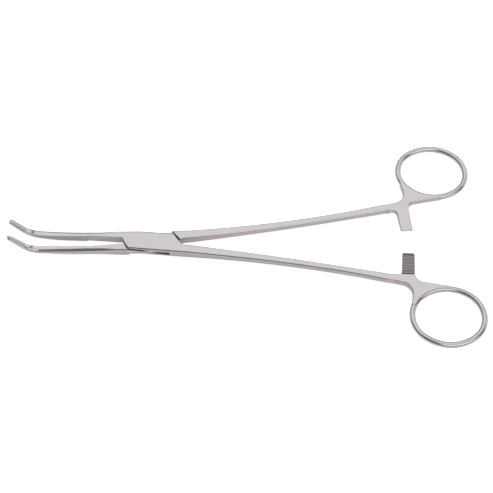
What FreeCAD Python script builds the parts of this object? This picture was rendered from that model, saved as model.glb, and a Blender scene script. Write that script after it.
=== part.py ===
import FreeCAD, Part
import math
import os

# Curved box-lock forceps, drawn lying flat and slightly open.
# X runs along the instrument: jaws toward -X, finger rings toward +X.
# Z = 0 is the underside of the lock, and the pivot axis is the Z axis.
# Both arms share one drawing. In it the jaws are closed, the jaw lies on +Y and the ring on -Y.
# The tenon arm is that drawing mirrored in Y, and each arm is then swung open about the pivot.

V = FreeCAD.Vector
os.makedirs("parts", exist_ok=True)

# Opening
HALF_OPENING = 3.15       # degrees each arm swings open from tips touching to the rest pose
ARM_OFFSET = 0.27         # box arm lies this far outside the mean line, the tenon arm this far inside
TIP_CLEARANCE = 0.03      # between each jaw face and the meeting line when the tips touch

# Lock
LOCK_THICKNESS = 5.0
MID = LOCK_THICKNESS / 2.0
TENON_THICKNESS = 1.7
TENON_PLAY = 0.06         # above and below the tenon, inside the slot
SHOULDER_GAP = 0.55       # open gap at the shoulders in the rest pose
SHOULDER_RELIEF = 0.78    # extra opening of the rear shoulder at the crotch
LOCK_EDGE_RADIUS = 0.8
SHOULDER_BEVEL = 0.35
PIN_RADIUS = 1.4
PIN_PLAY = 0.03           # running clearance of the tenon on the pin
SLOT_END = 9.25           # distance of the slot's end walls from the pivot
TENON_END = 8.45          # half length of the tenon's wide part
BLOCK_END = 19.0          # the lock is drawn as one block from -16 to here
SLOT_WALL_REACH = 1.9     # the end walls run inward to this distance from the pivot line

# Jaws
JAW_ROOT_X = -14.0
JAW_STRAIGHT = 16.0       # level length from the root
JAW_SWEEP_RADIUS = 174.0  # gentle upward sweep before the bend
JAW_SWEEP_LENGTH = 20.8
JAW_BEND_RADIUS = 10.5
JAW_PITCH = 55.0          # degrees from level at the tip
JAW_NOSE_LENGTH = 9.3     # straight length after the bend
SWEEP_SECTIONS = 8        # drawn sections along the sweep
BEND_SECTIONS = 10        # and round the bend
SERRATED_START_X = -29.4
RELIEF_ROOT = 0.95        # distance of the relief face from the meeting line at the root
RELIEF_END = 1.28
FACE_START = 0.88         # distance of the serrated face from the meeting line at its rear end
FACE_CONTACT_X = -47.5    # from here to the tip the faces meet
SERRATION_PITCH = 0.85
SERRATION_DEPTH = 0.22
SERRATION_WIDTH = 0.55

# Shanks
SHANK_THICKNESS = 3.4
SHANK_EDGE = 0.75
WEB_EDGE = 0.55
SHANK_STEP = 6.5          # distance between the drawn sections
PLATE_START = 111.6       # the flat web behind the shank starts inside it here

# Finger rings
RING_X = 137.65
RING_Y = -31.4
RING_HALF_LENGTH = 16.35
RING_HALF_WIDTH = 14.05
RING_END_SHARE = 0.91     # radius of the oval's two end arcs, as a share of the half width
RING_TURN = 4.2           # degrees
RING_WIRE = 2.75

# Ratchet tongues
TONGUE_LEFT = 117.4
TONGUE_RIGHT = 123.1
TONGUE_TIP_SHIFT = 0.5    # the tip lies this far toward +X
TONGUE_TIP_Y = 1.3
TONGUE_ROOT_Y = -11.4
TONGUE_CORNER = 0.8
TONGUE_GAP = 0.1          # between the crests of the two tongues
TOOTH_PITCH = 1.45
TOOTH_DEPTH = 0.5
TOOTH_COUNT = 7
TOOTH_LEAD = 2.1          # plain sloped length at the tip
LEAD_DEPTH = 0.95         # how far the slope has dropped at the tip


def face_of(points):
    wire = Part.makePolygon(points + [points[0]])
    return Part.Face(wire)


def prism(points, bottom, top):
    flat = [V(x, y, bottom) for x, y in points]
    return face_of(flat).extrude(V(0, 0, top - bottom))


def rested(x, y, side):
    # A point of an arm's closed drawing, moved to where it lies in the rest pose.
    swing = -math.radians(HALF_OPENING)
    turned_x = x * math.cos(swing) - y * math.sin(swing)
    turned_y = x * math.sin(swing) + y * math.cos(swing)
    return turned_x, side * turned_y


def place(shape, side):
    # side is 1 for the box arm and -1 for the tenon arm.
    if side < 0:
        shape = shape.mirror(V(0, 0, 0), V(0, 1, 0))
    shape.rotate(V(0, 0, 0), V(0, 0, 1), -side * HALF_OPENING)
    return shape


def edges_along(shape, z, inside):
    # Edges that lie in the plane z and whose middle the test accepts.
    found = []
    for edge in shape.Edges:
        box = edge.BoundBox
        if abs(box.ZMin - z) > 1e-6 or abs(box.ZMax - z) > 1e-6:
            continue
        middle = edge.valueAt((edge.FirstParameter + edge.LastParameter) / 2.0)
        if inside(middle):
            found.append(edge)
    return found


# Jaws

def jaw_path(s):
    # Point (x, z) and pitch in radians at the length s along the middle line of the jaw.
    sweep_pitch = JAW_SWEEP_LENGTH / JAW_SWEEP_RADIUS
    tip_pitch = math.radians(JAW_PITCH)
    bend_length = JAW_BEND_RADIUS * (tip_pitch - sweep_pitch)
    x = JAW_ROOT_X - min(s, JAW_STRAIGHT)
    z = MID
    pitch = 0.0
    s = s - JAW_STRAIGHT
    if s > 0:
        pitch = min(s, JAW_SWEEP_LENGTH) / JAW_SWEEP_RADIUS
        x = x - JAW_SWEEP_RADIUS * math.sin(pitch)
        z = z + JAW_SWEEP_RADIUS * (1 - math.cos(pitch))
    s = s - JAW_SWEEP_LENGTH
    if s > 0:
        start = pitch
        pitch = start + min(s, bend_length) / JAW_BEND_RADIUS
        x = x - JAW_BEND_RADIUS * (math.sin(pitch) - math.sin(start))
        z = z + JAW_BEND_RADIUS * (math.cos(start) - math.cos(pitch))
    s = s - bend_length
    if s > 0:
        x = x - s * math.cos(pitch)
        z = z + s * math.sin(pitch)
    return x, z, pitch


def jaw_length():
    bend = JAW_BEND_RADIUS * (math.radians(JAW_PITCH) - JAW_SWEEP_LENGTH / JAW_SWEEP_RADIUS)
    return JAW_STRAIGHT + JAW_SWEEP_LENGTH + bend + JAW_NOSE_LENGTH


def jaw_section(s, outer, height, radius):
    # Flat toward the other jaw, rounded on the outside.
    x, z, pitch = jaw_path(s)
    across = V(math.sin(pitch), 0, math.cos(pitch))
    centre = V(x, 0, z)
    inner = -0.6
    half = height / 2.0
    turn = radius * (1 - math.sqrt(0.5))

    def at(y, up):
        return centre + V(0, y, 0) + across * up

    low_inner = at(inner, -half)
    low_side = at(outer - radius, -half)
    low_arc = at(outer - turn, -half + turn)
    low_outer = at(outer, -half + radius)
    high_outer = at(outer, half - radius)
    high_arc = at(outer - turn, half - turn)
    high_side = at(outer - radius, half)
    high_inner = at(inner, half)
    edges = [
        Part.LineSegment(low_inner, low_side).toShape(),
        Part.Arc(low_side, low_arc, low_outer).toShape(),
        Part.LineSegment(low_outer, high_outer).toShape(),
        Part.Arc(high_outer, high_arc, high_side).toShape(),
        Part.LineSegment(high_side, high_inner).toShape(),
        Part.LineSegment(high_inner, low_inner).toShape(),
    ]
    return Part.Wire(edges)


def size_at(stations, where):
    # Straight-line reading between stations, each (where, size, size, ...).
    for before, after in zip(stations, stations[1:]):
        if where <= after[0]:
            part = (where - before[0]) / (after[0] - before[0])
            return [a + (b - a) * part for a, b in zip(before[1:], after[1:])]
    return list(stations[-1][1:])


def jaw_body(shift):
    # Stations: length from the root, outer face, height, corner radius.
    length = jaw_length()
    bend_end = length - JAW_NOSE_LENGTH
    nose = length - 1.2
    stations = [
        (0.0, 4.33, LOCK_THICKNESS - 0.06, 0.85),
        (2.0, 4.25, LOCK_THICKNESS - 0.1, 0.9),
        (8.0, 4.01, 4.76, 1.8),
        (JAW_STRAIGHT, 3.7, 4.6, 2.05),
        (28.0, 3.2, 3.9, 1.8),
        (36.0, 2.95, 3.1, 1.5),
        (41.0, 2.75, 2.75, 1.33),
        (bend_end, 2.4, 2.45, 1.18),
        (nose, 2.1, 2.2, 1.06),
    ]
    # Sections are drawn closer together where the jaw bends.
    places = [0.0, 2.0, 5.0, 8.0]
    for i in range(SWEEP_SECTIONS):
        places.append(JAW_STRAIGHT + JAW_SWEEP_LENGTH * i / SWEEP_SECTIONS)
    sweep_end = JAW_STRAIGHT + JAW_SWEEP_LENGTH
    for i in range(BEND_SECTIONS + 1):
        places.append(sweep_end + (bend_end - sweep_end) * i / BEND_SECTIONS)
    places.append(nose)
    sections = []
    for s in places:
        outer, height, radius = size_at(stations, s)
        sections.append(jaw_section(s, outer + shift, height, radius))
    # Blunt rounded tip: a quarter of an ellipse along the jaw.
    for angle in (20.0, 38.0, 54.0, 68.0, 78.0):
        s = nose + (length - nose) * math.sin(math.radians(angle))
        shrink = math.cos(math.radians(angle))
        outer, height, radius = size_at(stations, nose)
        outer = (outer + shift) * shrink + 0.25 * (1 - shrink)
        sections.append(jaw_section(s, outer, height * shrink, radius * shrink))
    return Part.makeLoft(sections, True, True)


def face_distance(x):
    # Distance of the serrated face from the meeting line.
    run = (x - FACE_CONTACT_X) / (SERRATED_START_X - FACE_CONTACT_X)
    return TIP_CLEARANCE + max(0.0, run) * (FACE_START - TIP_CLEARANCE)


def jaw_clearing(shift):
    # Everything on the far side of the relief and serrated faces.
    line = [
        (JAW_ROOT_X + 3.0, RELIEF_ROOT),
        (SERRATED_START_X, RELIEF_END),
        (SERRATED_START_X, FACE_START),
        (FACE_CONTACT_X, TIP_CLEARANCE),
        (JAW_ROOT_X - 70.0, TIP_CLEARANCE),
        (JAW_ROOT_X - 70.0, -8.0),
        (JAW_ROOT_X + 3.0, -8.0),
    ]
    points = [(x, y + shift) for x, y in line]
    return prism(points, -5.0, 40.0)


def serrations(shift):
    # Cross grooves, square to the jaw's own direction, from the step to the tip.
    cutters = []
    s = JAW_STRAIGHT + 0.6
    while s < jaw_length() - 0.5:
        x, z, pitch = jaw_path(s)
        along = V(-math.cos(pitch), 0, math.sin(pitch))
        across = V(math.sin(pitch), 0, math.cos(pitch))
        face_y = face_distance(x) + shift
        centre = V(x, face_y, z) - across * 4.0
        half = along * (SERRATION_WIDTH / 2.0)
        mouth_a = centre + half - V(0, 0.05, 0)
        mouth_b = centre - half - V(0, 0.05, 0)
        root = centre + V(0, SERRATION_DEPTH, 0)
        cutters.append(face_of([mouth_a, mouth_b, root]).extrude(across * 8.0))
        s = s + SERRATION_PITCH
    return cutters


def jaw(side):
    # The jaws meet beside the middle line, because the box arm is the wider one.
    shift = side * ARM_OFFSET
    body = jaw_body(shift)
    body = body.cut(jaw_clearing(shift))
    body = body.cut(serrations(shift))
    return body


# Shank, ring and tongue

def shank_centre(x):
    # The shank bows away from the middle line as it runs back to the ring.
    return -(2.19 + 0.0298 * x + 0.000569 * x * x)


def offset_at(x, side):
    # The box arm bows out a little more than the tenon arm.
    return -side * min(0.5, ARM_OFFSET - 0.04 + 0.0035 * x)


def shank_section(x, side, width, height, radius):
    slope = -(0.0298 + 0.001138 * x)
    heading = math.atan(slope)
    across = V(-math.sin(heading), math.cos(heading), 0)
    centre = V(x, shank_centre(x) + offset_at(x, side), MID)
    half_w = width / 2.0
    half_h = height / 2.0
    turn = radius * (1 - math.sqrt(0.5))

    def at(y, z):
        return centre + across * y + V(0, 0, z)

    edges = []
    corners = [(1, 1), (-1, 1), (-1, -1), (1, -1)]
    ends = []
    for sy, sz in corners:
        start = at(sy * half_w, sz * (half_h - radius))
        middle = at(sy * (half_w - turn), sz * (half_h - turn))
        end = at(sy * (half_w - radius), sz * half_h)
        if sy * sz < 0:
            start, end = end, start
        edges.append(Part.Arc(start, middle, end).toShape())
        ends.append((start, end))
    for i in range(4):
        edges.append(Part.LineSegment(ends[i][1], ends[(i + 1) % 4][0]).toShape())
    return Part.Wire(Part.__sortEdges__(edges))


def shank(side):
    # Stations: x, width, height. It stays as thick as the lock until the lock's block ends.
    stations = [
        (14.5, 4.35, LOCK_THICKNESS - 0.05),
        (BLOCK_END + 0.2, 4.22, LOCK_THICKNESS - 0.05),
        (36.0, 3.75, 3.9),
        (58.0, 3.2, 3.5),
        (81.0, 2.95, SHANK_THICKNESS),
        (97.0, 3.1, SHANK_THICKNESS),
        (110.0, 3.75, SHANK_THICKNESS),
        (117.0, 2.8, SHANK_THICKNESS),
    ]
    start = stations[1][0]
    end = stations[-1][0]
    count = int((end - start) / SHANK_STEP)
    places = [stations[0][0]]
    for i in range(count + 1):
        places.append(start + (end - start) * i / count)
    sections = []
    for x in places:
        width, height = size_at(stations, x)
        sections.append(shank_section(x, side, width, height, SHANK_EDGE))
    return Part.makeLoft(sections, True, True)


def ring_arcs():
    # The ring's oval as four tangent arcs round its own centre: (centre, radius, first angle, sweep).
    end_r = RING_HALF_WIDTH * RING_END_SHARE
    in_from_end = RING_HALF_LENGTH - end_r
    side_r = (in_from_end ** 2 + RING_HALF_WIDTH ** 2 - end_r ** 2) / (2.0 * (RING_HALF_WIDTH - end_r))
    beyond = side_r - RING_HALF_WIDTH
    turn = math.degrees(math.atan2(beyond, in_from_end))
    return [
        (V(in_from_end, 0, 0), end_r, -turn, 2.0 * turn),
        (V(0, -beyond, 0), side_r, turn, 180.0 - 2.0 * turn),
        (V(-in_from_end, 0, 0), end_r, 180.0 - turn, 2.0 * turn),
        (V(0, beyond, 0), side_r, 180.0 + turn, 180.0 - 2.0 * turn),
    ]


def on_ring(shape, z):
    # Moves a shape from the oval's own centre to the ring's place.
    shape.rotate(V(0, 0, 0), V(0, 0, 1), RING_TURN)
    shape.translate(V(RING_X, RING_Y, z))
    return shape


def ring():
    # Round wire bent round the oval.
    pieces = []
    for centre, radius, first, sweep in ring_arcs():
        angle = math.radians(first)
        start = centre + V(math.cos(angle), math.sin(angle), 0) * radius
        along = V(-math.sin(angle), math.cos(angle), 0)
        end = Part.Face(Part.Wire([Part.Circle(start, along, RING_WIRE / 2.0).toShape()]))
        pieces.append(end.revolve(centre, V(0, 0, 1), sweep))
    return on_ring(pieces[0].fuse(pieces[1:]).removeSplitter(), MID)


def ring_hole():
    # Inside of the wire's middle line, through the whole thickness.
    edges = []
    for centre, radius, first, sweep in ring_arcs():
        edges.append(Part.makeCircle(radius, centre, V(0, 0, 1), first, first + sweep))
    hole = Part.Face(Part.Wire(edges)).extrude(V(0, 0, LOCK_THICKNESS + 2.0))
    return on_ring(hole, -1.0)


def handle_plate(side):
    # Flat web where shank, ring and tongue run together, with the tongue at full thickness.
    z = MID - SHANK_THICKNESS / 2.0
    bow = offset_at(112.0, side)
    # It starts inside the shank, so that its edges leave the shank's at a clear angle.
    inner_start = V(PLATE_START, shank_centre(PLATE_START) + bow + 1.4, z)
    outer_start = V(PLATE_START, shank_centre(PLATE_START) + bow - 1.5, z)
    left_root = V(TONGUE_LEFT - 2.1, -10.45 + bow, z)
    left_turn = V(TONGUE_LEFT - 0.6, -9.9 + bow, z)
    left_side = V(TONGUE_LEFT, -8.4 + bow, z)
    tip_left = TONGUE_LEFT + TONGUE_TIP_SHIFT
    tip_right = TONGUE_RIGHT + TONGUE_TIP_SHIFT
    round_off = TONGUE_CORNER * (1 - math.sqrt(0.5))
    left_corner = V(tip_left, TONGUE_TIP_Y - TONGUE_CORNER, z)
    left_corner_turn = V(tip_left + round_off, TONGUE_TIP_Y - round_off, z)
    left_tip = V(tip_left + TONGUE_CORNER, TONGUE_TIP_Y, z)
    right_tip = V(tip_right - TONGUE_CORNER, TONGUE_TIP_Y, z)
    right_corner_turn = V(tip_right - round_off, TONGUE_TIP_Y - round_off, z)
    right_corner = V(tip_right, TONGUE_TIP_Y - TONGUE_CORNER, z)
    right_root = V(TONGUE_RIGHT + 0.15, -11.2, z)
    right_turn = V(TONGUE_RIGHT + 1.2, -13.5, z)
    ring_crest = RING_Y + RING_HALF_WIDTH
    ring_start = RING_X - RING_HALF_LENGTH
    right_end = V(TONGUE_RIGHT + 3.9, ring_crest + 2.6, z)
    ring_side = V(RING_X - 3.65, ring_crest + 1.6, z)
    ring_join = V(RING_X + 2.35, ring_crest + 1.0, z)
    ring_top = V(RING_X + 2.35, ring_crest - 1.15, z)
    ring_left = V(ring_start + 0.7, RING_Y + 4.4, z)
    outer_join = V(ring_start, RING_Y + 5.9, z)
    outer_side = V(ring_start + 0.5, RING_Y + 9.0, z)
    outer_turn = V(120.9, -17.3 + bow, z)
    outer_root = V(116.8, -15.15 + bow, z)
    edges = [
        Part.LineSegment(outer_start, inner_start).toShape(),
        Part.LineSegment(inner_start, left_root).toShape(),
        Part.Arc(left_root, left_turn, left_side).toShape(),
        Part.LineSegment(left_side, left_corner).toShape(),
        Part.Arc(left_corner, left_corner_turn, left_tip).toShape(),
        Part.LineSegment(left_tip, right_tip).toShape(),
        Part.Arc(right_tip, right_corner_turn, right_corner).toShape(),
        Part.LineSegment(right_corner, right_root).toShape(),
        Part.Arc(right_root, right_turn, right_end).toShape(),
        Part.LineSegment(right_end, ring_side).toShape(),
        Part.LineSegment(ring_side, ring_join).toShape(),
        Part.LineSegment(ring_join, ring_top).toShape(),
        Part.LineSegment(ring_top, ring_left).toShape(),
        Part.LineSegment(ring_left, outer_join).toShape(),
        Part.LineSegment(outer_join, outer_side).toShape(),
        Part.Arc(outer_side, outer_turn, outer_root).toShape(),
        Part.LineSegment(outer_root, outer_start).toShape(),
    ]
    plate = Part.Face(Part.Wire(edges)).extrude(V(0, 0, SHANK_THICKNESS))
    rounded = []
    for level in (z, z + SHANK_THICKNESS):
        rounded += edges_along(plate, level, on_outline)
    plate = plate.makeFillet(WEB_EDGE, rounded)
    return plate.cut(ring_hole())


def on_outline(point):
    # Edges of the web and the tongue, without the ends that lie inside shank or ring.
    in_shank = point.x < PLATE_START + 0.2
    in_ring = point.x > 139.0 or point.y < -25.0 or (point.x > 123.0 and point.y < -16.3)
    return not (in_shank or in_ring)


def tongue_clearing(side):
    # Halves the tongue: the box arm keeps its lower half, the tenon arm its upper half.
    half = SHANK_THICKNESS / 2.0
    if side > 0:
        low = MID - TONGUE_GAP / 2.0
        high = MID + half + 1.0
    else:
        low = MID - half - 1.0
        high = MID + TONGUE_GAP / 2.0
    points = [
        (TONGUE_LEFT - 3.0, TONGUE_ROOT_Y),
        (TONGUE_RIGHT + 3.0, TONGUE_ROOT_Y),
        (TONGUE_RIGHT + 3.0, TONGUE_TIP_Y + 3.0),
        (TONGUE_LEFT - 3.0, TONGUE_TIP_Y + 3.0),
    ]
    return prism(points, low, high)


def tooth_grooves(side):
    # Saw teeth across the tongue. Their steep flanks face the shank, so closing rides up the slopes.
    crest = MID - side * TONGUE_GAP / 2.0
    over = crest + side * 0.2
    root = crest - side * TOOTH_DEPTH
    left = TONGUE_LEFT - 1.0
    across = V(TONGUE_RIGHT - TONGUE_LEFT + 3.0, 0, 0)
    cutters = []
    lead_end = TONGUE_TIP_Y - TOOTH_LEAD
    beyond = 0.5
    drop = LEAD_DEPTH * (TOOTH_LEAD + beyond) / TOOTH_LEAD
    lead = [
        V(left, TONGUE_TIP_Y + beyond, over),
        V(left, lead_end, over),
        V(left, lead_end, crest),
        V(left, TONGUE_TIP_Y + beyond, crest - side * drop),
    ]
    cutters.append(face_of(lead).extrude(across))
    y = lead_end
    for i in range(TOOTH_COUNT):
        steep = y - 0.2
        slope_end = y - TOOTH_PITCH
        groove = [
            V(left, steep, over),
            V(left, steep, crest),
            V(left, steep - 0.1, root),
            V(left, slope_end, crest),
            V(left, slope_end, over),
        ]
        cutters.append(face_of(groove).extrude(across))
        y = y - TOOTH_PITCH
    return cutters


def handle(side):
    plate = handle_plate(side).cut(tongue_clearing(side))
    plate = plate.cut(tooth_grooves(side))
    return plate.fuse(ring())


# Lock, drawn in the rest pose because its shoulders are parallel there

def front_line(gap):
    # Front edge of the cheeks, from the jaw's inner corner to beyond the flank.
    lean = math.radians(29.1)
    normal = V(-math.cos(lean), -math.sin(lean), 0) * gap
    return V(-13.97, 4.09, 0) + normal, V(-8.61, -5.55, 0) + normal


def rear_line(gap):
    # Rear edge of the cheeks.
    lean = math.radians(35.5)
    normal = V(math.cos(lean), math.sin(lean), 0) * gap
    return V(8.86, 6.48, 0) + normal, V(15.13, -2.31, 0) + normal


def flank(points):
    curve = Part.BSplineCurve()
    curve.interpolate([V(x, y, 0) for x, y in points])
    return curve.toShape()


def block(upper, lower, thickness):
    # A solid between two flank curves, both running toward +X.
    top = flank(upper)
    bottom = flank(lower)
    front = Part.LineSegment(V(*upper[0], 0), V(*lower[0], 0)).toShape()
    rear = Part.LineSegment(V(*upper[-1], 0), V(*lower[-1], 0)).toShape()
    wire = Part.Wire(Part.__sortEdges__([top, rear, bottom, front]))
    return Part.Face(wire).extrude(V(0, 0, thickness))


def rear_shoulder():
    # The tenon arm's rear shoulder: parallel at the flank, wider open at the crotch so it can close.
    start, end = rear_line(SHOULDER_GAP)
    relieved = rear_line(SHOULDER_GAP + SHOULDER_RELIEF)
    turn = start + (end - start) * 0.4
    return start, turn, relieved[1]


def box_block():
    inner_jaw = RELIEF_ROOT + ARM_OFFSET
    jaw_low = rested(-16.0, inner_jaw + 0.02, 1)
    jaw_high = rested(-16.0, 4.5, 1)
    shank_y = shank_centre(BLOCK_END) + offset_at(BLOCK_END, 1)
    shank_low = rested(BLOCK_END, shank_y - 2.1, 1)
    shank_high = rested(BLOCK_END, shank_y + 2.1, 1)
    upper = [jaw_high, (-9.0, 5.42), (-3.5, 5.35), (2.2, 4.85), (9.0, 4.2), (BLOCK_END, 3.2)]
    lower = [(-16.0, -3.1), (-9.6, -3.72), (2.2, -4.93), shank_low]
    body = block(upper, lower, LOCK_THICKNESS)
    flanks = edges_along(body, 0.0, lambda p: abs(p.y) > 2.0 and -15.9 < p.x < BLOCK_END - 0.1)
    flanks += edges_along(body, LOCK_THICKNESS, lambda p: abs(p.y) > 2.0 and -15.9 < p.x < BLOCK_END - 0.1)
    body = body.makeFillet(LOCK_EDGE_RADIUS, flanks)
    # Below the jaw and in front of the cheeks.
    front_a, front_b = front_line(0.0)
    corner_x = front_a.x + (front_b.x - front_a.x) * (front_a.y - jaw_low[1]) / (front_a.y - front_b.y)
    under_jaw = [
        jaw_low,
        (corner_x, jaw_low[1] + 0.05),
        (front_b.x, front_b.y),
        (-20.0, front_b.y),
        (-20.0, jaw_low[1]),
    ]
    body = body.cut(prism(under_jaw, -1.0, LOCK_THICKNESS + 1.0))
    # Above the shank and behind the cheeks. Past the crotch the shank's own rounded edge takes over.
    rear_a, rear_b = rear_line(0.0)
    crotch_y = shank_high[1] + 0.55
    part_way = (rear_a.y - crotch_y) / (rear_a.y - rear_b.y)
    crotch_x = rear_a.x + (rear_b.x - rear_a.x) * part_way
    over_shank = [
        (rear_a.x, rear_a.y),
        (crotch_x, crotch_y),
        (crotch_x + 0.5, crotch_y - 0.07),
        (crotch_x + 2.3, crotch_y - 1.1),
        (25.0, crotch_y - 1.6),
        (25.0, rear_a.y),
    ]
    return body.cut(prism(over_shank, -1.0, LOCK_THICKNESS + 1.0))


def slot():
    # The tenon's passage: open at both flanks, at the front face and at the rear face.
    low = MID - TENON_THICKNESS / 2.0 - TENON_PLAY
    high = MID + TENON_THICKNESS / 2.0 + TENON_PLAY
    points = [
        (-SLOT_END, 8.0),
        (-SLOT_END, SLOT_WALL_REACH + 0.3),
        (-14.5, 1.75),
        (-16.0, -8.0),
        (SLOT_END, -8.0),
        (SLOT_END, -SLOT_WALL_REACH),
        (14.5, -1.05),
        (16.0, 8.0),
    ]
    return prism(points, low, high)


def tenon_block():
    inner_jaw = RELIEF_ROOT - ARM_OFFSET
    jaw_inner = rested(-16.0, inner_jaw + 0.02, -1)
    jaw_outer = rested(-16.0, 3.96, -1)
    shank_y = shank_centre(BLOCK_END) + offset_at(BLOCK_END, -1)
    shank_outer = rested(BLOCK_END, shank_y - 2.1, -1)
    lower = [jaw_outer, (-10.0, -4.95), (-0.7, -4.72), (8.0, -4.3), (BLOCK_END, -3.4)]
    upper = [(-16.0, 3.8), (-8.4, 4.35), (2.2, 4.95), (10.5, 5.5), shank_outer]
    body = block(upper, lower, LOCK_THICKNESS)
    flanks = edges_along(body, 0.0, lambda p: abs(p.y) > 2.0 and -15.9 < p.x < BLOCK_END - 0.1)
    flanks += edges_along(body, LOCK_THICKNESS, lambda p: abs(p.y) > 2.0 and -15.9 < p.x < BLOCK_END - 0.1)
    body = body.makeFillet(LOCK_EDGE_RADIUS, flanks)
    # Room above the jaw, up to the tenon's wide part.
    over_jaw = [
        (-20.0, jaw_inner[1]),
        jaw_inner,
        (-13.0, jaw_inner[1] + 0.1),
        (-TENON_END, 1.0),
        (-TENON_END, 8.0),
        (-20.0, 8.0),
    ]
    body = body.cut(prism(over_jaw, -1.0, LOCK_THICKNESS + 1.0))
    # Room below the shank. Past the crotch the shank's own rounded edge takes over.
    crotch_x, crotch_y = rested(13.95, shank_centre(13.95) + offset_at(13.95, -1) + 2.19, -1)
    under_shank = [
        (TENON_END, -8.0),
        (TENON_END, -0.8),
        (crotch_x, crotch_y),
        (crotch_x + 0.9, crotch_y + 0.1),
        (crotch_x + 2.6, crotch_y + 1.1),
        (25.0, crotch_y + 1.8),
        (25.0, -8.0),
    ]
    return body.cut(prism(under_shank, -1.0, LOCK_THICKNESS + 1.0))


def tenon_recess():
    # What is milled off above and below the tenon, with bevelled shoulders.
    front_a, front_b = front_line(SHOULDER_GAP + 0.07)
    rear_a, rear_turn, rear_b = rear_shoulder()
    low = MID - TENON_THICKNESS / 2.0
    high = MID + TENON_THICKNESS / 2.0
    outline = [
        (front_a.x, front_a.y),
        (front_b.x, front_b.y),
        (front_b.x, -9.0),
        (rear_b.x, -9.0),
        (rear_b.x, rear_b.y),
        (rear_turn.x, rear_turn.y),
        (rear_a.x, rear_a.y),
        (rear_a.x, 9.0),
        (front_a.x, 9.0),
    ]
    cutters = [prism(outline, -1.0, low), prism(outline, high, LOCK_THICKNESS + 1.0)]
    cutters += shoulder_bevels(front_a, front_b, 1)
    cutters += shoulder_bevels(rear_a, rear_turn, -1)
    cutters += shoulder_bevels(rear_turn, rear_b, -1)
    return cutters


def shoulder_bevels(start, end, toward):
    # Small bevels on the top and bottom edge of a shoulder.
    along = (end - start).normalize()
    away = V(along.y, -along.x, 0)
    if away.x * toward > 0:
        away = away * -1.0
    cutters = []
    for z, up in ((LOCK_THICKNESS, 1.0), (0.0, -1.0)):
        corner = V(start.x, start.y, z)
        triangle = [
            corner + away * (SHOULDER_BEVEL + 0.1) + V(0, 0, up * 0.1),
            corner - away * 0.3 + V(0, 0, up * 0.1),
            corner - away * 0.3 - V(0, 0, up * (SHOULDER_BEVEL + 0.3)),
        ]
        cutters.append(face_of(triangle).extrude(along * (end - start).Length))
    return cutters


def pivot_bore(radius):
    return Part.makeCylinder(radius, LOCK_THICKNESS + 2.0, V(0, 0, -1.0))


def make_box_arm():
    parts = [place(jaw(1), 1), place(shank(1), 1), place(handle(1), 1)]
    arm = box_block().fuse(parts)
    return arm.cut([slot(), pivot_bore(PIN_RADIUS)])


def make_tenon_arm():
    lock = tenon_block().cut(tenon_recess())
    parts = [place(jaw(-1), -1), place(shank(-1), -1), place(handle(-1), -1)]
    return lock.fuse(parts).cut(pivot_bore(PIN_RADIUS + PIN_PLAY))


def make_pivot_pin():
    return Part.makeCylinder(PIN_RADIUS, LOCK_THICKNESS)


make_box_arm().exportStep("parts/box_arm.step")
make_tenon_arm().exportStep("parts/tenon_arm.step")
make_pivot_pin().exportStep("parts/pivot_pin.step")
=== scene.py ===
import bpy
import math
from mathutils import Matrix, Vector

# Curved box-lock forceps lying on a white table, seen obliquely from above.
# Everything is in metres, in the frame of the CAD model.

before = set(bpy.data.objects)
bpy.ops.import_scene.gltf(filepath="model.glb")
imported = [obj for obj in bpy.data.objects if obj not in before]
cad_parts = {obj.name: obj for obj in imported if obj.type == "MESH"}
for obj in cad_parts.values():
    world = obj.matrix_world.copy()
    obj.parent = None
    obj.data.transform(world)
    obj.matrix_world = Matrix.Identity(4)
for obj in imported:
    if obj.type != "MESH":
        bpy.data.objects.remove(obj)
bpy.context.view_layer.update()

MM = 0.001

# Camera, found by fitting the finger rings and the straight edges of the picture
PIXEL = 0.4666 * MM          # size of a picture pixel at the lock
PICTURE = 493.0              # picture width and height in pixels
CAMERA_PIXELS = 1066.0       # distance of the camera, in pixels
TILT = 30.0                  # degrees the view leans from straight down
SWING = -2.18                # degrees it is turned about the vertical
ROLL = 1.60                  # degrees the picture is rolled
LOCK_AT = (152.0, 242.9)     # picture place of the fitted origin
FITTED_ORIGIN = Vector((1.2235 * MM, 0.0, 2.5 * MM))
HALF_PIXEL = 0.5             # the fit counts from the middle of the corner pixel
SENSOR = 36.0                # millimetres, as Blender's cameras have it
NEAR_CLIP = 10 * MM

# Steel: name, colour, roughness and strength of the grain
SATIN = ("satin_steel", (0.555, 0.515, 0.53), 0.21, 0.25)
PIN = ("pin_steel", (0.54, 0.505, 0.52), 0.2, 0.2)
CLOUD_SCALE = 90.0
CLOUD_DARK = 0.965
CLOUD_LIGHT = 1.03
GRAIN_SCALE = 3800.0
GRAIN_HEIGHT = 0.02 * MM
ROUGH_SPREAD = 0.05
GAP_REACH = 2.6 * MM         # how far round itself a face looks for what closes it in
GAP_CLOSED = 0.12            # share of open space at which a face is darkest
GAP_OPEN = 0.5               # share from which it is as light as the rest
GAP_SHADE_LEVEL = 0.1              # colour level of the painted gap shade where it is darkest
MILLED_LEVEL = 0.86          # colour level of the ratchet teeth
# Middle and reach of the box round the teeth: along X, beside the X axis, and along Z
MILLED_BOX = ((120.3 * MM, 4.2 * MM), (11.6 * MM, 6.6 * MM), (2.5 * MM, 1.25 * MM))

# Table
TABLE_REACH = 8.0
TABLE_AT = (0.05, 0.0, -0.05 * MM)
TABLE_WHITE = (0.86, 0.86, 0.86, 1.0)
TABLE_GLOW = 0.74            # lifts the table to white where the camera sees it
GLOW_IN_METAL = 0.335        # share of that glow in what the metal mirrors

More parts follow.
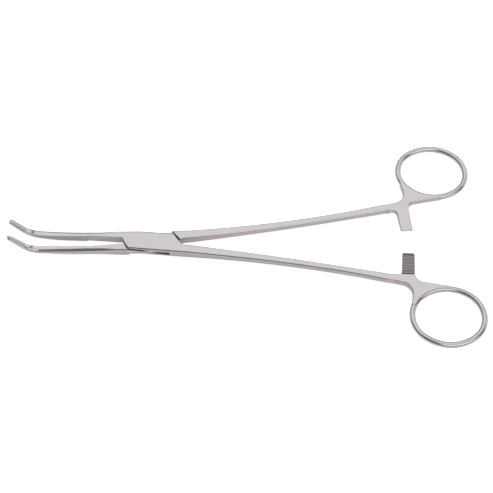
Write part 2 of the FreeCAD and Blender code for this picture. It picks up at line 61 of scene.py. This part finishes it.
# Light
ROOM = (0.21, 0.21, 0.22, 1.0)
LAMPS = (
    # name, place, aim, width, height, watts
    ("softbox", (-0.08, 0.42, 0.80), (0.04, 0.0, 0.0), 1.5, 1.25, 5.6),
    ("front_right", (0.82, -0.725, 0.825), (0.82, 0.031, 0.17), 1.5, 0.99, 6.4),
    ("right_back", (1.00, 0.46, 0.34), (0.05, 0.0, 0.0), 1.0, 0.6, 2.0),
)


def make_camera():
    lean = math.radians(TILT)
    swing = Matrix.Rotation(math.radians(SWING), 3, "Z")
    back = swing @ Vector((0.0, -math.sin(lean), math.cos(lean)))
    level = swing @ Vector((1.0, 0.0, 0.0))
    upright = back.cross(level)
    roll = math.radians(ROLL)
    right = level * math.cos(roll) + upright * math.sin(roll)
    up = upright * math.cos(roll) - level * math.sin(roll)
    centre = PICTURE / 2.0
    across = LOCK_AT[0] - centre
    above = centre - LOCK_AT[1]
    place = FITTED_ORIGIN + (back * CAMERA_PIXELS - right * across - up * above) * PIXEL
    data = bpy.data.cameras.new("camera")
    data.sensor_width = SENSOR
    data.lens = SENSOR * CAMERA_PIXELS / PICTURE
    data.shift_x = -HALF_PIXEL / PICTURE
    data.shift_y = HALF_PIXEL / PICTURE
    data.clip_start = NEAR_CLIP
    camera = bpy.data.objects.new("camera", data)
    bpy.context.scene.collection.objects.link(camera)
    turned = Matrix((right, up, back)).transposed().to_4x4()
    camera.matrix_world = Matrix.Translation(place) @ turned
    bpy.context.scene.camera = camera


def new_material(name):
    material = bpy.data.materials.new(name)
    material.use_nodes = True
    tree = material.node_tree
    tree.nodes.clear()

    def add(kind, inputs=None, **settings):
        # The settings come first, because they decide which inputs a node has.
        node = tree.nodes.new(kind)
        for key, value in settings.items():
            setattr(node, key, value)
        for key, value in (inputs or {}).items():
            node.inputs[key].default_value = value
        return node

    return material, add, tree.links.new


def steel(name, colour, rough, grain):
    # Satin stainless steel: fine blasted grain and faint clouding.
    material, add, link = new_material(name)
    out = add("ShaderNodeOutputMaterial")
    shader = add("ShaderNodeBsdfPrincipled", {"Metallic": 1.0})
    link(shader.outputs["BSDF"], out.inputs["Surface"])
    where = add("ShaderNodeTexCoord")

    def product(first, second):
        node = add("ShaderNodeMath", operation="MULTIPLY")
        link(first, node.inputs[0])
        link(second, node.inputs[1])
        return node.outputs["Value"]

    cloud = add("ShaderNodeTexNoise", {"Scale": CLOUD_SCALE, "Detail": 3.0})
    link(where.outputs["Object"], cloud.inputs["Vector"])
    dark = (*[c * CLOUD_DARK for c in colour], 1.0)
    light = (*[c * CLOUD_LIGHT for c in colour], 1.0)
    tint = add("ShaderNodeMix", {"A": dark, "B": light}, data_type="RGBA")
    link(cloud.outputs["Fac"], tint.inputs["Factor"])

    # Painted shade: faces in a narrow gap or crevice are darkened by ambient occlusion.
    around = add("ShaderNodeAmbientOcclusion", {"Distance": GAP_REACH}, samples=8)
    gap_range = {"From Min": GAP_CLOSED, "From Max": GAP_OPEN, "To Min": GAP_SHADE_LEVEL, "To Max": 1.0}
    painted_gap_shade = add("ShaderNodeMapRange", gap_range)
    link(around.outputs["AO"], painted_gap_shade.inputs["Value"])

    # The ratchet teeth are left as milled, which is darker than the blasted faces.
    spot = add("ShaderNodeSeparateXYZ")
    link(where.outputs["Object"], spot.inputs["Vector"])
    beside = add("ShaderNodeMath", operation="ABSOLUTE")
    link(spot.outputs["Y"], beside.inputs[0])
    coordinates = (spot.outputs["X"], beside.outputs["Value"], spot.outputs["Z"])
    within = []
    for coordinate, (middle, reach) in zip(coordinates, MILLED_BOX):
        near = add("ShaderNodeMath", {1: middle, 2: reach}, operation="COMPARE")
        link(coordinate, near.inputs[0])
        within.append(near.outputs["Value"])
    in_box = product(product(within[0], within[1]), within[2])
    milled = add("ShaderNodeMapRange", {"To Min": 1.0, "To Max": MILLED_LEVEL})
    link(in_box, milled.inputs["Value"])

    shaded = add("ShaderNodeMix", {"Factor": 1.0}, data_type="RGBA", blend_type="MULTIPLY")
    link(tint.outputs["Result"], shaded.inputs["A"])
    link(product(painted_gap_shade.outputs["Result"], milled.outputs["Result"]), shaded.inputs["B"])
    link(shaded.outputs["Result"], shader.inputs["Base Color"])

    fine = add("ShaderNodeTexNoise", {"Scale": GRAIN_SCALE, "Detail": 2.0})
    link(where.outputs["Object"], fine.inputs["Vector"])
    rough_range = {"To Min": rough - ROUGH_SPREAD, "To Max": rough + ROUGH_SPREAD}
    spread = add("ShaderNodeMapRange", rough_range)
    link(fine.outputs["Fac"], spread.inputs["Value"])
    link(spread.outputs["Result"], shader.inputs["Roughness"])

    bump = add("ShaderNodeBump", {"Strength": grain, "Distance": GRAIN_HEIGHT})
    link(fine.outputs["Fac"], bump.inputs["Height"])
    link(bump.outputs["Normal"], shader.inputs["Normal"])
    return material


def dress(node, material):
    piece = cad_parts[node]
    if not piece.data.materials:
        piece.data.materials.append(material)
    for slot in piece.material_slots:
        slot.material = material


def make_table():
    # White table top. It keeps the shadow, is white to the eye and paler in the metal.
    data = bpy.data.meshes.new("floor")
    reach = TABLE_REACH
    corners = [(-reach, -reach, 0.0), (reach, -reach, 0.0), (reach, reach, 0.0), (-reach, reach, 0.0)]
    data.from_pydata(corners, [], [(0, 1, 2, 3)])
    floor = bpy.data.objects.new("floor", data)
    floor.location = TABLE_AT
    bpy.context.scene.collection.objects.link(floor)

    material, add, link = new_material("floor_white")
    out = add("ShaderNodeOutputMaterial")
    paper = add("ShaderNodeBsdfDiffuse", {"Color": TABLE_WHITE})
    glow = add("ShaderNodeEmission", {"Color": (1.0, 1.0, 1.0, 1.0), "Strength": TABLE_GLOW})
    seen = add("ShaderNodeLightPath")
    in_metal = add("ShaderNodeMath", {1: GLOW_IN_METAL}, operation="MULTIPLY")
    link(seen.outputs["Is Glossy Ray"], in_metal.inputs[0])
    either = add("ShaderNodeMath", operation="MAXIMUM")
    link(seen.outputs["Is Camera Ray"], either.inputs[0])
    link(in_metal.outputs["Value"], either.inputs[1])
    lifted = add("ShaderNodeAddShader")
    link(paper.outputs["BSDF"], lifted.inputs[0])
    link(glow.outputs["Emission"], lifted.inputs[1])
    choose = add("ShaderNodeMixShader")
    link(either.outputs["Value"], choose.inputs["Fac"])
    link(paper.outputs["BSDF"], choose.inputs[1])
    link(lifted.outputs["Shader"], choose.inputs[2])
    link(choose.outputs["Shader"], out.inputs["Surface"])
    data.materials.append(material)


def make_lamp(name, place, aim, width, height, watts):
    data = bpy.data.lights.new(name, "AREA")
    data.shape = "RECTANGLE"
    data.size = width
    data.size_y = height
    data.energy = watts
    lamp = bpy.data.objects.new(name, data)
    lamp.location = place
    toward = Vector(aim) - Vector(place)
    lamp.rotation_euler = toward.to_track_quat("-Z", "Y").to_euler()
    bpy.context.scene.collection.objects.link(lamp)


def make_light():
    world = bpy.data.worlds.new("room")
    world.use_nodes = True
    sky = world.node_tree.nodes["Background"]
    sky.inputs["Color"].default_value = ROOM
    sky.inputs["Strength"].default_value = 1.0
    bpy.context.scene.world = world
    for lamp in LAMPS:
        make_lamp(*lamp)


make_camera()
make_light()
make_table()
satin = steel(*SATIN)
pin = steel(*PIN)
dress("box_arm", satin)
dress("tenon_arm", satin)
dress("pivot_pin", pin)

bpy.context.scene.view_settings.view_transform = "Standard"
